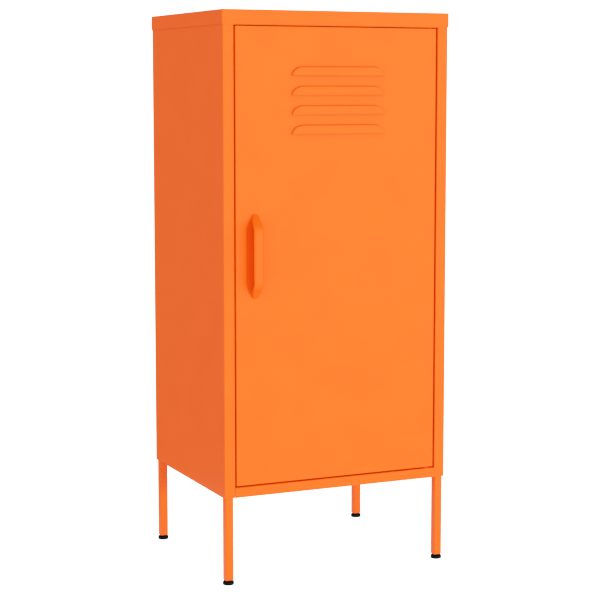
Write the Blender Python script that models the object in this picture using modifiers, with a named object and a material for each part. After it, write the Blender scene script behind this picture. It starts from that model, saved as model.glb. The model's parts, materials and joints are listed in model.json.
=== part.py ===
"""Single-door steel locker on four legs, modelled as the sheet-metal pieces it is made of.

Metres, +Z up. The door faces -Y and its handle is on the -X side. The origin is on the floor, under the
middle of the whole object's box, handle included.
"""

import math

import bmesh
import bpy
from mathutils import Vector

# Driving dimensions
HEIGHT = 1.015
CAP_WIDTH = 0.444
CAP_DEPTH = 0.363
CAP_SKIRT = 0.0255
CAP_OVERHANG = 0.0015
CAP_OVERHANG_FRONT = 0.0012
SHEET = 0.0008
GAP = 0.0003
HANDLE_PROJECTION = 0.028
BODY_BOTTOM = 0.158
STILE_WIDTH = 0.0205
RAIL_HEIGHT = 0.0172

# Door
DOOR_SIDE_GAP = 0.003
DOOR_TOP_GAP = 0.0027
RAIL_BEAD_DEPTH = 0.0022
RAIL_BEAD_HEIGHT = 0.0014
DOOR_THICKNESS = 0.018
DOOR_LIP = 0.012
HINGE_FROM_EDGE = 0.012
HINGE_FROM_FACE = 0.008

# Louvres
LOUVRE_COUNT = 4
LOUVRE_PITCH = 0.0342
LOUVRE_HALF_LENGTH = 0.0915
LOUVRE_END = 0.023
LOUVRE_HEIGHT = 0.0162
LOUVRE_DEPTH = 0.0046
LOUVRE_TOP = 0.9182

# Handle
HANDLE_LENGTH = 0.151
HANDLE_WIDTH = 0.0205
HANDLE_SLOPE = 0.893
HANDLE_FROM_EDGE = 0.0228
HANDLE_RAISED = 0.0034
HANDLE_EDGE_RADIUS = 0.0066
HANDLE_TAPER = 0.323
HANDLE_TAPER_FROM = 0.049
RECESS_DEPTH = 0.0152
RECESS_FLOOR = 0.001
RECESS_FRONT = 0.025
RECESS_ROUND = 0.003
HANDLE_SCREW_FROM_SIDE = 0.0050
HANDLE_SCREW_SPACING = 0.115
HANDLE_SCREW_RADIUS = 0.0016

# Legs and feet
TUBE = 0.015
TUBE_WALL = 0.0012
TUBE_BOTTOM = 0.0085
LEG_X = 0.2105
LEG_INSET_Y = 0.0097
PLATE_WIDTH = 0.028
PLATE_LENGTH = 0.050
PLATE_THICKNESS = 0.0018
PAD_RADIUS = 0.010
PAD_HEIGHT = 0.0065
STUD_RADIUS = 0.003
BOLT_INSET = 0.0065
BOLT_FROM_PLATE_END = 0.012

# Back
SCREW_INSET = 0.007
SCREW_RADIUS = 0.002

# Inside
STOP_DEPTH = 0.020
STOP_LIP = 0.008
CATCH_DEPTH = 0.034
CATCH_FROM_EDGE = 0.045
PIN_RADIUS = 0.0025
PIN_CLEARANCE = 0.0001
BUSH_RADIUS = 0.004
SHELF_HEIGHT = 0.018
SHELF_HALF_WIDTH = 0.2093
SLOT_PITCH = 0.068
SLOT_COUNT = 11
SLOT_FIRST = 0.240
SHELF_SLOTS = {"lower": 3, "upper": 7}

# Places that follow from the sizes above
HALF_WIDTH = CAP_WIDTH / 2 - CAP_OVERHANG
CAP_FRONT = (HANDLE_PROJECTION - CAP_OVERHANG_FRONT - CAP_DEPTH) / 2
FRONT = CAP_FRONT + CAP_OVERHANG_FRONT
BACK = CAP_FRONT + CAP_DEPTH - CAP_OVERHANG_FRONT
INSIDE = HALF_WIDTH - SHEET - GAP
BODY_TOP = HEIGHT - SHEET - 2 * GAP
FLOOR_TOP = BODY_BOTTOM + RAIL_HEIGHT
STILE_EDGE = HALF_WIDTH - STILE_WIDTH
RAIL_BOTTOM = HEIGHT - CAP_SKIRT + GAP
DOOR_LEFT = -STILE_EDGE + 0.0025
DOOR_RIGHT = STILE_EDGE - DOOR_SIDE_GAP
DOOR_BOTTOM = FLOOR_TOP + DOOR_SIDE_GAP
DOOR_TOP = RAIL_BOTTOM - DOOR_TOP_GAP
HINGE_X = DOOR_RIGHT - HINGE_FROM_EDGE
HINGE_Y = FRONT + HINGE_FROM_FACE
HANDLE_X = DOOR_LEFT + HANDLE_FROM_EDGE + HANDLE_WIDTH / 2
HANDLE_Z = (DOOR_BOTTOM + DOOR_TOP) / 2 + HANDLE_RAISED
RAIL_FACE = INSIDE - 0.0079
SCREW_X = HALF_WIDTH - SCREW_INSET
SCREW_HEIGHTS = (BODY_BOTTOM + 0.07, (BODY_BOTTOM + BODY_TOP) / 2, BODY_TOP - 0.07)
BOLT_X = LEG_X - BOLT_INSET
CATCH_X = DOOR_LEFT + CATCH_FROM_EDGE
LEG_YS = {"front": FRONT + LEG_INSET_Y, "rear": BACK - LEG_INSET_Y}
SIDES = {"left": -1, "right": 1}

ORANGE = (1.0, 0.21, 0.035, 1.0)
STEEL = (0.62, 0.62, 0.60, 1.0)
BLACK = (0.01, 0.01, 0.01, 1.0)
RUBBER = (0.02, 0.02, 0.02, 1.0)
FERRITE = (0.05, 0.05, 0.055, 1.0)
NYLON = (0.92, 0.22, 0.03, 1.0)


def clear_scene():
    for obj in list(bpy.data.objects):
        bpy.data.objects.remove(obj, do_unlink=True)


def new_group(name):
    group = bpy.data.collections.new(name)
    bpy.context.scene.collection.children.link(group)
    return group


def paint(name, colour, roughness, metallic):
    mat = bpy.data.materials.new(name)
    mat.use_nodes = True
    shader = mat.node_tree.nodes["Principled BSDF"]
    shader.inputs["Base Color"].default_value = colour
    shader.inputs["Roughness"].default_value = roughness
    shader.inputs["Metallic"].default_value = metallic
    mat.diffuse_color = colour
    return mat


clear_scene()
LOCKER = new_group("school_locker")
CUTTERS = new_group("cutters")
MATERIALS = {
    "paint": paint("orange_paint", ORANGE, 0.45, 0.0),
    "steel": paint("zinc_steel", STEEL, 0.35, 1.0),
    "black": paint("black_plastic", BLACK, 0.5, 0.0),
    "rubber": paint("black_rubber", RUBBER, 0.8, 0.0),
    "ferrite": paint("magnet", FERRITE, 0.6, 0.0),
    "nylon": paint("orange_nylon", NYLON, 0.5, 0.0),
}


def keep(obj, name, material):
    """Names a finished piece, gives it its material and puts it with the locker's parts."""
    obj.name = name
    obj.data.name = name
    obj.data.materials.clear()
    obj.data.materials.append(MATERIALS[material])
    move_to(obj, LOCKER)
    return obj


def move_to(obj, group):
    for old in list(obj.users_collection):
        old.objects.unlink(obj)
    group.objects.link(obj)


def mesh_object(name, mesh):
    obj = bpy.data.objects.new(name, mesh)
    LOCKER.objects.link(obj)
    return obj


def box(low, high):
    """A box between two corners, as a scaled cube."""
    low, high = Vector(low), Vector(high)
    bpy.ops.mesh.primitive_cube_add(size=1.0, location=(low + high) / 2)
    obj = bpy.context.object
    obj.scale = high - low
    bpy.ops.object.transform_apply(location=False, rotation=False, scale=True)
    return obj


def rod(radius, low, high, x, y, sides=24):
    """An upright cylinder from one height to another."""
    bpy.ops.mesh.primitive_cylinder_add(
        vertices=sides, radius=radius, depth=high - low, location=(x, y, (low + high) / 2)
    )
    obj = bpy.context.object
    smooth(obj)
    return obj


def level_rod(radius, front, back, x, z, sides=16):
    """A cylinder along Y."""
    bpy.ops.mesh.primitive_cylinder_add(
        vertices=sides,
        radius=radius,
        depth=back - front,
        location=(x, (front + back) / 2, z),
        rotation=(math.pi / 2, 0, 0),
    )
    return bpy.context.object


def smooth(obj):
    obj.data.shade_smooth()
    obj.data.set_sharp_from_angle(angle=math.radians(35))


def combine(target, other, operation):
    """Adds a Boolean; the other object becomes a hidden cutter."""
    move_to(other, CUTTERS)
    other.name = target.name + "_cutter"
    other.hide_render = True
    other.display_type = "WIRE"
    boolean = target.modifiers.new(operation.lower(), "BOOLEAN")
    boolean.operation = operation
    boolean.solver = "EXACT"
    boolean.object = other


def cut(target, other):
    combine(target, other, "DIFFERENCE")


def join(target, other):
    combine(target, other, "UNION")


def turned(profile, location, sides=24, rotation=(0, 0, 0)):
    """A profile of (radius, height) points, top to bottom on its outer side, turned about Z."""
    mesh = bpy.data.meshes.new("turned")
    shape = bmesh.new()
    points = [shape.verts.new((radius, 0, height)) for radius, height in profile]
    for first, second in zip(points, points[1:]):
        shape.edges.new((first, second))
    shape.to_mesh(mesh)
    shape.free()
    obj = mesh_object("turned", mesh)
    obj.location = location
    obj.rotation_euler = rotation
    screw = obj.modifiers.new("turn", "SCREW")
    screw.steps = sides
    screw.render_steps = sides
    screw.use_merge_vertices = True
    screw.merge_threshold = 0.00001
    return obj


def folded(points, along, start, end):
    """A sheet folded to a section, outer face on the right of the path, and run along X or Z."""
    mesh = bpy.data.meshes.new("folded")
    shape = bmesh.new()
    rows = []
    for place in (start, end):
        if along == "Z":
            rows.append([shape.verts.new((a, b, place)) for a, b in points])
        else:
            rows.append([shape.verts.new((place, a, b)) for a, b in points])
    for i in range(len(points) - 1):
        shape.faces.new((rows[0][i], rows[0][i + 1], rows[1][i + 1], rows[1][i]))
    shape.to_mesh(mesh)
    shape.free()
    obj = mesh_object("folded", mesh)
    return obj


def thicken(obj, thickness=SHEET):
    solid = obj.modifiers.new("sheet", "SOLIDIFY")
    solid.thickness = thickness
    solid.offset = -1
    solid.use_even_offset = True


def mirrored(points, side):
    """The section for the right side, or its mirror image walked the other way for the left."""
    if side > 0:
        return points
    return [(-x, y) for x, y in reversed(points)]


def tray(low, high, axis, facing, lip):
    """A folded tray: a hollow box, open on one side inside a turned lip."""
    obj = box(low, high)
    inner_low = [v + SHEET for v in low]
    inner_high = [v - SHEET for v in high]
    cut(obj, box(inner_low, inner_high))
    open_low = [v + max(lip, SHEET) for v in low]
    open_high = [v - max(lip, SHEET) for v in high]
    open_low[axis] = inner_high[axis] - SHEET if facing > 0 else low[axis] - SHEET
    open_high[axis] = high[axis] + SHEET if facing > 0 else inner_low[axis] + SHEET
    cut(obj, box(open_low, open_high))
    return obj


def loft(rings):
    """Skins stacked closed rings of points and caps both ends."""
    mesh = bpy.data.meshes.new("loft")
    shape = bmesh.new()
    rows = [[shape.verts.new(point) for point in ring] for ring in rings]
    count = len(rings[0])
    for lower, upper in zip(rows, rows[1:]):
        for i in range(count):
            j = (i + 1) % count
            shape.faces.new((lower[i], lower[j], upper[j], upper[i]))
    shape.faces.new(rows[0])
    shape.faces.new(rows[-1])
    bmesh.ops.recalc_face_normals(shape, faces=shape.faces)
    shape.to_mesh(mesh)
    shape.free()
    return mesh_object("loft", mesh)


def make_cap():
    low = (-CAP_WIDTH / 2, CAP_FRONT, HEIGHT - CAP_SKIRT)
    high = (CAP_WIDTH / 2, CAP_FRONT + CAP_DEPTH, HEIGHT)
    cap = box(low, high)
    hollow_low = (low[0] + SHEET, low[1] + SHEET, low[2] - SHEET)
    hollow_high = (high[0] - SHEET, high[1] - SHEET, high[2] - SHEET)
    cut(cap, box(hollow_low, hollow_high))
    keep(cap, "top_cap", "paint")


def make_sides():
    """Side sheets, folded round the front as stiles and round the back as flanges."""
    for name, side in SIDES.items():
        section = [
            (STILE_EDGE, FRONT + STOP_DEPTH),
            (STILE_EDGE, FRONT),
            (HALF_WIDTH, FRONT),
            (HALF_WIDTH, BACK),
            (HALF_WIDTH - DOOR_LIP, BACK),
        ]
        if side < 0:
            section.insert(0, (STILE_EDGE - STOP_LIP, FRONT + STOP_DEPTH))
        panel = folded(mirrored(section, side), "Z", BODY_BOTTOM, BODY_TOP)
        thicken(panel)
        for low, high in ((BODY_BOTTOM - 0.01, FLOOR_TOP + GAP), (RAIL_BOTTOM - GAP, BODY_TOP + 0.01)):
            xs = sorted((side * (STILE_EDGE - 0.02), side * (STILE_EDGE + 0.004)))
            cut(panel, box((xs[0], FRONT + SHEET + GAP / 2, low), (xs[1], FRONT + 0.03, high)))
        for z in SCREW_HEIGHTS:
            cut(panel, level_rod(SCREW_RADIUS + GAP, BACK - 0.003, BACK + 0.003, side * SCREW_X, z))
        keep(panel, "side_panel_" + name, "paint")


def make_back():
    outer = BACK - SHEET - GAP
    panel = box((-INSIDE, outer - SHEET, FLOOR_TOP + GAP), (INSIDE, outer, BODY_TOP))
    for side in SIDES.values():
        for z in SCREW_HEIGHTS:
            cut(panel, level_rod(SCREW_RADIUS + GAP, BACK - 0.006, BACK + 0.003, side * SCREW_X, z))
    keep(panel, "back_panel", "paint")
    for name, side in SIDES.items():
        for number, z in enumerate(SCREW_HEIGHTS, 1):
            profile = [(0, 0.0009), (0.003, 0.0008), (0.0044, 0)]
            profile += [(SCREW_RADIUS, 0), (SCREW_RADIUS, -0.0078), (0, -0.0092)]
            place = (side * SCREW_X, BACK + 0.0002, z)
            screw = turned(profile, place, 16, (-math.pi / 2, 0, 0))
            keep(screw, f"back_screw_{name}_{number}", "steel")


def make_base():
    """The floor tray; its front flange is the bottom rail, flush between the stiles."""
    behind = FRONT + SHEET + GAP
    rear = BACK - SHEET - GAP
    edge = STILE_EDGE - GAP
    bottom = BODY_BOTTOM + 0.0004
    base = box((-INSIDE, behind, bottom), (INSIDE, rear, FLOOR_TOP))
    join(base, box((-edge, FRONT, BODY_BOTTOM), (edge, behind + 0.005, FLOOR_TOP)))
    below = BODY_BOTTOM - 0.01
    under = FLOOR_TOP - SHEET
    cut(base, box((-INSIDE + SHEET, behind + SHEET, below), (INSIDE - SHEET, rear - SHEET, under)))
    cut(base, box((-edge + SHEET, FRONT + SHEET, below), (edge - SHEET, behind + 0.006, under)))
    cut(base, rod(BUSH_RADIUS + GAP, under - 0.002, FLOOR_TOP + 0.002, HINGE_X, HINGE_Y))
    for side in SIDES.values():
        for y in bolt_places().values():
            cut(base, rod(STUD_RADIUS + GAP, under - 0.002, FLOOR_TOP + 0.002, side * BOLT_X, y, 16))
    keep(base, "base_panel", "paint")


def bolt_places():
    """Bolts stand behind the front tubes and ahead of the rear ones."""
    reach = PLATE_LENGTH - TUBE / 2 - BOLT_FROM_PLATE_END
    return {"front": LEG_YS["front"] + reach, "rear": LEG_YS["rear"] - reach}


def make_top_rail():
    """Channel behind the lid's skirt: front wall, web over the door, short upstand at the back.

    A shallow bead under the web closes the sight line over the door.
    """
    section = [
        (FRONT, BODY_TOP),
        (FRONT, RAIL_BOTTOM),
        (FRONT + CATCH_DEPTH, RAIL_BOTTOM),
        (FRONT + CATCH_DEPTH, RAIL_BOTTOM + 0.012),
    ]
    edge = STILE_EDGE - GAP
    rail = folded(section, "X", -edge, edge)
    thicken(rail)
    bead_low = (-edge, FRONT + RAIL_BEAD_DEPTH, RAIL_BOTTOM - RAIL_BEAD_HEIGHT)
    bead_high = (edge, FRONT + RAIL_BEAD_DEPTH + SHEET, RAIL_BOTTOM + SHEET / 2)
    join(rail, box(bead_low, bead_high))
    cut(rail, rod(BUSH_RADIUS + GAP, RAIL_BOTTOM - 0.002, RAIL_BOTTOM + 0.004, HINGE_X, HINGE_Y))
    keep(rail, "top_rail", "paint")


def make_door():
    low = (DOOR_LEFT, FRONT, DOOR_BOTTOM)
    high = (DOOR_RIGHT, FRONT + DOOR_THICKNESS, DOOR_TOP)
    door = tray(low, high, 1, 1, DOOR_LIP)
    for number in range(LOUVRE_COUNT):
        slit = LOUVRE_TOP - LOUVRE_HEIGHT - number * LOUVRE_PITCH
        join(door, loft(hood_rings(slit + GAP, 0.0, SHEET / 2)))
        cut(door, loft(hood_rings(slit, SHEET, SHEET + 0.002)))
    hole = HANDLE_SCREW_RADIUS + GAP
    for z in handle_screw_heights():
        cut(door, level_rod(hole, FRONT - 0.002, FRONT + 0.003, handle_screw_x(), z))
    for low_z, high_z in ((DOOR_BOTTOM - 0.002, DOOR_BOTTOM + 0.003), (DOOR_TOP - 0.003, DOOR_TOP + 0.002)):
        cut(door, rod(PIN_RADIUS + GAP, low_z, high_z, HINGE_X, HINGE_Y))
    keep(door, "door_skin", "paint")


def hood_rings(bottom, inset, back):
    """Rings of a pressed louvre hood, from behind the sheet out to its flat face."""
    steps = [(-back, 0.0), (0.0, 0.0), (0.0036, 0.0020), (0.0043, 0.0028), (LOUVRE_DEPTH, 0.0050)]
    rings = []
    for out, shrink in steps:
        depth = out * (LOUVRE_DEPTH - inset) / LOUVRE_DEPTH if out > 0 else out
        rings.append(hood_outline(bottom, shrink + inset, FRONT - depth))
    return rings


def hood_outline(bottom, shrink, y):
    """A straight lower edge with a quarter ellipse at each end."""
    middle = LOUVRE_HALF_LENGTH - LOUVRE_END
    right = []
    for angle in range(0, 91, 15):
        turn = math.radians(angle)
        x = middle + (LOUVRE_END - shrink) * math.cos(turn)
        right.append((x, y, bottom + (LOUVRE_HEIGHT - shrink) * math.sin(turn)))
    left = [(-x, y, z) for x, y, z in reversed(right)]
    return right + left


def rounded_loop(corners, steps=4):
    """A closed outline from (a, b, radius) corners, each one rounded."""
    outline = []
    for i, (a, b, radius) in enumerate(corners):
        here = Vector((a, b))
        into = (Vector(corners[i - 1][:2]) - here).normalized()
        out = (Vector(corners[(i + 1) % len(corners)][:2]) - here).normalized()
        half = into.angle(out) / 2
        centre = here + (into + out).normalized() * (radius / math.sin(half))
        first = here + into * (radius / math.tan(half)) - centre
        sweep = math.copysign(math.pi - 2 * half, into.y * out.x - into.x * out.y)
        for step in range(steps + 1):
            cos, sin = math.cos(sweep * step / steps), math.sin(sweep * step / steps)
            outline.append(centre + Vector((first.x * cos - first.y * sin, first.x * sin + first.y * cos)))
    return outline


def handle_outline(out):
    """The pull's outline at a distance out from the door: straight on the right, tapered on the left."""
    beyond = max(0.0, out - (HANDLE_PROJECTION - HANDLE_EDGE_RADIUS))
    inset = HANDLE_EDGE_RADIUS - math.sqrt(max(0.0, HANDLE_EDGE_RADIUS ** 2 - beyond ** 2))
    half = HANDLE_LENGTH / 2 - HANDLE_SLOPE * out - inset
    left, right = inset - HANDLE_WIDTH / 2, HANDLE_WIDTH / 2 - inset
    bend = min(HANDLE_TAPER_FROM, half - 0.008)
    tip = left + HANDLE_TAPER * max(0.0, half - HANDLE_TAPER_FROM)
    wide = max(0.0005, 0.0058 - 0.8 * inset)
    small = max(0.0005, 0.0035 - 0.5 * inset)
    return rounded_loop([
        (right, -half, wide),
        (right, half, wide),
        (tip, half, small),
        (left, bend, 0.010),
        (left, -bend, 0.010),
        (tip, -half, small),
    ])


def handle_rings():
    """Outlines from the door to the pull's rounded front, shorter as its ends slope."""
    straight = HANDLE_PROJECTION - HANDLE_EDGE_RADIUS
    outs = [GAP, straight * 0.5, straight]
    outs += [straight + HANDLE_EDGE_RADIUS * math.sin(math.radians(angle)) for angle in (25, 50, 75)]
    outs.append(HANDLE_PROJECTION)
    return [[(HANDLE_X + x, FRONT - out, HANDLE_Z + z) for x, z in handle_outline(out)] for out in outs]


def recess_rings():
    """Outlines of the finger recess, from outside the pull's left face in to its rounded bottom."""
    rings = []
    for depth in (-0.003, 0.004, 0.008, 0.011, RECESS_DEPTH - RECESS_ROUND, 0.0143, RECESS_DEPTH):
        narrowing = (max(0.0, depth) / RECESS_DEPTH) ** 1.8
        beyond = max(0.0, depth - (RECESS_DEPTH - RECESS_ROUND))
        inset = RECESS_ROUND - math.sqrt(max(0.0, RECESS_ROUND ** 2 - beyond ** 2))
        floor, front = RECESS_FLOOR + inset, RECESS_FRONT - inset
        door_end = 0.0690 - 0.0245 * narrowing - inset
        front_end = 0.0490 - 0.0075 * narrowing - inset
        outline = rounded_loop([
            (floor, -door_end, 0.0015),
            (front, -front_end, 0.0045),
            (front, front_end, 0.0045),
            (floor, door_end, 0.0015),
        ])
        x = HANDLE_X - HANDLE_WIDTH / 2 + depth
        rings.append([(x, FRONT - out, HANDLE_Z + z) for out, z in outline])
    return rings


def handle_screw_x():
    return HANDLE_X + HANDLE_WIDTH / 2 - HANDLE_SCREW_FROM_SIDE


def handle_screw_heights():
    return (HANDLE_Z - HANDLE_SCREW_SPACING / 2, HANDLE_Z + HANDLE_SCREW_SPACING / 2)


def make_handle():
    """A pull with a deep finger recess in its left side and solid ends for its two screws."""
    handle = loft(handle_rings())
    smooth(handle)
    cut(handle, loft(recess_rings()))
    hole = HANDLE_SCREW_RADIUS + GAP
    for z in handle_screw_heights():
        cut(handle, level_rod(hole, FRONT - 0.0145, FRONT + 0.002, handle_screw_x(), z))
    keep(handle, "door_handle", "paint")
    for name, z in zip(("lower", "upper"), handle_screw_heights()):
        profile = [(0, 0.0022), (0.0025, 0.0018), (0.0035, 0), (HANDLE_SCREW_RADIUS, 0)]
        profile += [(HANDLE_SCREW_RADIUS, -0.0130), (0, -0.0142)]
        place = (handle_screw_x(), FRONT + SHEET + GAP, z)
        screw = turned(profile, place, 16, (-math.pi / 2, 0, 0))
        keep(screw, "handle_screw_" + name, "steel")


def make_door_fittings():
    """Stiffener, strike plate and hinge pins, which all swing with the door."""
    near = FRONT + SHEET + GAP
    far = FRONT + DOOR_THICKNESS - 0.003
    section = [(-0.030, near), (-0.016, near), (-0.016, far), (0.016, far), (0.016, near), (0.030, near)]
    stiffener = folded(section, "Z", DOOR_BOTTOM + 0.02, LOUVRE_TOP - LOUVRE_COUNT * LOUVRE_PITCH - 0.01)
    thicken(stiffener)
    keep(stiffener, "door_stiffener", "paint")

    back = FRONT + DOOR_THICKNESS + GAP
    top = DOOR_TOP - 0.0008
    plate = box((CATCH_X - 0.020, back, top - 0.0105), (CATCH_X + 0.020, back + 0.0009, top))
    keep(plate, "strike_plate", "steel")

    # The pins are riveted through the pan's ends: shaft, collar outside, head inside.
    for name, z, end in (("bottom", DOOR_BOTTOM, -1), ("top", DOOR_TOP, 1)):
        profile = [
            (0, 0.0068),
            (PIN_RADIUS * 0.8, 0.0068),
            (PIN_RADIUS, 0.0062),
            (PIN_RADIUS, 0.0010),
            (0.0044, 0.0010),
            (0.0044, GAP),
            (PIN_RADIUS, GAP),
            (PIN_RADIUS, -0.0011),
            (0.0044, -0.0011),
            (0.0040, -0.0026),
            (0, -0.0030),
        ]
        rotation = (0, 0, 0) if end > 0 else (math.pi, 0, 0)
        pin = turned(profile, (HINGE_X, HINGE_Y, z), 24, rotation)
        keep(pin, "hinge_pin_" + name, "paint")


def make_bushes():
    """Flanged nylon bushes: one stands on the floor tray, one hangs in the top rail."""
    bore = PIN_RADIUS + PIN_CLEARANCE
    web = RAIL_BOTTOM + SHEET
    for name, base, down in (("bottom", FLOOR_TOP + GAP, 0.0042), ("top", web + GAP, 0.0018)):
        thick = 0.0012
        profile = [
            (bore, thick),
            (0.0065, thick),
            (0.0065, 0),
            (BUSH_RADIUS, 0),
            (BUSH_RADIUS, -down),
            (bore, -down),
            (bore, thick),
        ]
        bush = turned(profile, (HINGE_X, HINGE_Y, base))
        keep(bush, "hinge_bush_" + name, "nylon")


def make_catch():
    """Magnetic catch under the top rail's web, and buffers on the closing stile's stop lip."""
    low = (CATCH_X - 0.022, FRONT + DOOR_THICKNESS + 0.0022, RAIL_BOTTOM - GAP - 0.014)
    high = (CATCH_X + 0.022, FRONT + CATCH_DEPTH - 0.002, RAIL_BOTTOM - GAP)
    housing = box(low, high)
    pocket_low = (CATCH_X - 0.0163, low[1] - 0.002, low[2] + 0.0037)
    pocket_high = (CATCH_X + 0.0163, low[1] + 0.0083, high[2] - 0.0037)
    cut(housing, box(pocket_low, pocket_high))
    keep(housing, "catch_housing", "black")
    magnet_low = (CATCH_X - 0.016, low[1] - 0.0008, low[2] + 0.004)
    magnet_high = (CATCH_X + 0.016, low[1] + 0.008, high[2] - 0.004)
    keep(box(magnet_low, magnet_high), "catch_magnet", "ferrite")

    x = -STILE_EDGE + STOP_LIP / 2
    for name, z in (("lower", DOOR_BOTTOM + 0.12), ("upper", DOOR_TOP - 0.12)):
        profile = [(0, 0.0014), (0.0025, 0.0014), (0.0033, 0.0008), (0.0035, 0), (0, 0)]
        place = (x, FRONT + STOP_DEPTH - 0.0002, z)
        buffer = turned(profile, place, 16, (math.pi / 2, 0, 0))
        keep(buffer, "door_buffer_" + name, "rubber")


def rail_places():
    return {"front": FRONT + 0.060, "rear": BACK - 0.045}


def make_shelf_rails():
    """Slotted channels on the side sheets, two a side."""
    middle = SLOT_FIRST + SLOT_PITCH * (SLOT_COUNT - 1) / 2
    half = SLOT_PITCH * SLOT_COUNT / 2
    for name, side in SIDES.items():
        for place, y in rail_places().items():
            behind, ahead = y + 0.010, y - 0.010
            section = [(INSIDE, behind), (RAIL_FACE, behind), (RAIL_FACE, ahead), (INSIDE, ahead)]
            rail = folded(mirrored(section, side), "Z", middle - half, middle + half)
            thicken(rail)
            xs = sorted((side * (RAIL_FACE - 0.002), side * (RAIL_FACE + 0.003)))
            slots = box((xs[0], y - 0.007, SLOT_FIRST - 0.002), (xs[1], y + 0.007, SLOT_FIRST + 0.002))
            row = slots.modifiers.new("row", "ARRAY")
            row.count = SLOT_COUNT
            row.use_relative_offset = False
            row.use_constant_offset = True
            row.constant_offset_displace = (0, 0, SLOT_PITCH)
            cut(rail, slots)
            keep(rail, f"shelf_rail_{name}_{place}", "paint")


def make_shelves():
    """Folded shelves, each on four clips hooked into the rails' slots."""
    clip_sheet = 0.0012
    for level, slot in SHELF_SLOTS.items():
        z = SLOT_FIRST + slot * SLOT_PITCH
        seat = z - 0.008
        low = (-SHELF_HALF_WIDTH, FRONT + 0.030, seat + GAP)
        high = (SHELF_HALF_WIDTH, BACK - 0.003, seat + GAP + SHELF_HEIGHT)
        keep(tray(low, high, 2, -1, DOOR_LIP), "shelf_" + level, "paint")
        for name, side in SIDES.items():
            for place, y in rail_places().items():
                wall = RAIL_FACE - 0.0006
                under = seat - clip_sheet
                section = [(wall - 0.014, under), (wall, under), (wall, z), (RAIL_FACE + 0.004, z)]
                clip = clip_sheet_piece(section, side, y, clip_sheet)
                keep(clip, f"shelf_clip_{level}_{name}_{place}", "steel")


def clip_sheet_piece(section, side, y, thickness):
    """A clip folded in the XZ plane and as wide as a slot allows."""
    mesh = bpy.data.meshes.new("clip")
    shape = bmesh.new()
    half = 0.006
    order = 1 if side > 0 else -1
    rows = []
    for place in (y - half * order, y + half * order):
        rows.append([shape.verts.new((side * x, place, z)) for x, z in section])
    for i in range(len(section) - 1):
        shape.faces.new((rows[0][i], rows[0][i + 1], rows[1][i + 1], rows[1][i]))
    bmesh.ops.reverse_faces(shape, faces=shape.faces)
    shape.to_mesh(mesh)
    shape.free()
    obj = mesh_object("clip", mesh)
    thicken(obj, thickness)
    return obj


def make_legs():
    """Square tubes up to a plate under the floor tray, each plate bolted down through the tray."""
    plate_top = FLOOR_TOP - SHEET - GAP
    tube_top = plate_top - PLATE_THICKNESS - GAP
    for place, y in LEG_YS.items():
        back = 1 if place == "front" else -1
        bolt_y = bolt_places()[place]
        for name, side in SIDES.items():
            x = side * LEG_X
            half = TUBE / 2
            tube = box((x - half, y - half, TUBE_BOTTOM), (x + half, y + half, tube_top))
            bore = half - TUBE_WALL
            cut(tube, box((x - bore, y - bore, 0), (x + bore, y + bore, tube_top + 0.01)))
            keep(tube, f"leg_tube_{place}_{name}", "paint")

            xs = sorted((side * (LEG_X + half), side * (LEG_X + half - PLATE_WIDTH)))
            ys = sorted((y - back * half, y - back * half + back * PLATE_LENGTH))
            plate = box((xs[0], ys[0], plate_top - PLATE_THICKNESS), (xs[1], ys[1], plate_top))
            bolt_x = side * BOLT_X
            nut_bottom = plate_top - PLATE_THICKNESS - 0.005
            join(plate, rod(0.0055, nut_bottom, plate_top - 0.0006, bolt_x, bolt_y, 6))
            cut(plate, rod(STUD_RADIUS + GAP, plate_top - 0.02, plate_top + 0.01, bolt_x, bolt_y, 16))
            keep(plate, f"leg_plate_{place}_{name}", "paint")

            profile = [(0, 0.0032), (0.0035, 0.0030), (0.0054, 0.0012), (0.0054, 0), (STUD_RADIUS, 0)]
            profile += [(STUD_RADIUS, -0.0105), (0.0022, -0.0115), (0, -0.0115)]
            bolt = turned(profile, (bolt_x, bolt_y, FLOOR_TOP + GAP), 16)
            keep(bolt, f"leg_bolt_{place}_{name}", "steel")
            make_foot(place, name, x, y)


def make_foot(place, name, x, y):
    """A plug in the tube's end, and the foot whose stud screws into it."""
    half = TUBE / 2 - TUBE_WALL - GAP
    plug = box((x - half, y - half, TUBE_BOTTOM + 0.0002), (x + half, y + half, TUBE_BOTTOM + 0.018))
    cut(plug, rod(STUD_RADIUS + PIN_CLEARANCE, 0, TUBE_BOTTOM + 0.03, x, y))
    keep(plug, f"leg_plug_{place}_{name}", "black")
    neck = TUBE_BOTTOM - 0.0002
    profile = [
        (0, TUBE_BOTTOM + 0.020),
        (STUD_RADIUS - 0.0006, TUBE_BOTTOM + 0.020),
        (STUD_RADIUS, TUBE_BOTTOM + 0.019),
        (STUD_RADIUS, neck),
        (0.0055, neck),
        (0.0055, PAD_HEIGHT),
        (PAD_RADIUS - 0.0018, PAD_HEIGHT),
        (PAD_RADIUS - 0.0004, PAD_HEIGHT - 0.0010),
        (PAD_RADIUS, PAD_HEIGHT - 0.0026),
        (PAD_RADIUS, 0.0014),
        (PAD_RADIUS - 0.0012, 0),
        (0, 0),
    ]
    keep(turned(profile, (x, y, 0)), f"foot_{place}_{name}", "black")


make_cap()
make_sides()
make_back()
make_base()
make_top_rail()
make_door()
make_handle()
make_door_fittings()
make_bushes()
make_catch()
make_shelf_rails()
make_shelves()
make_legs()
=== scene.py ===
import json
import math

import bmesh
import bpy
from mathutils import Matrix, Vector


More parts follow.
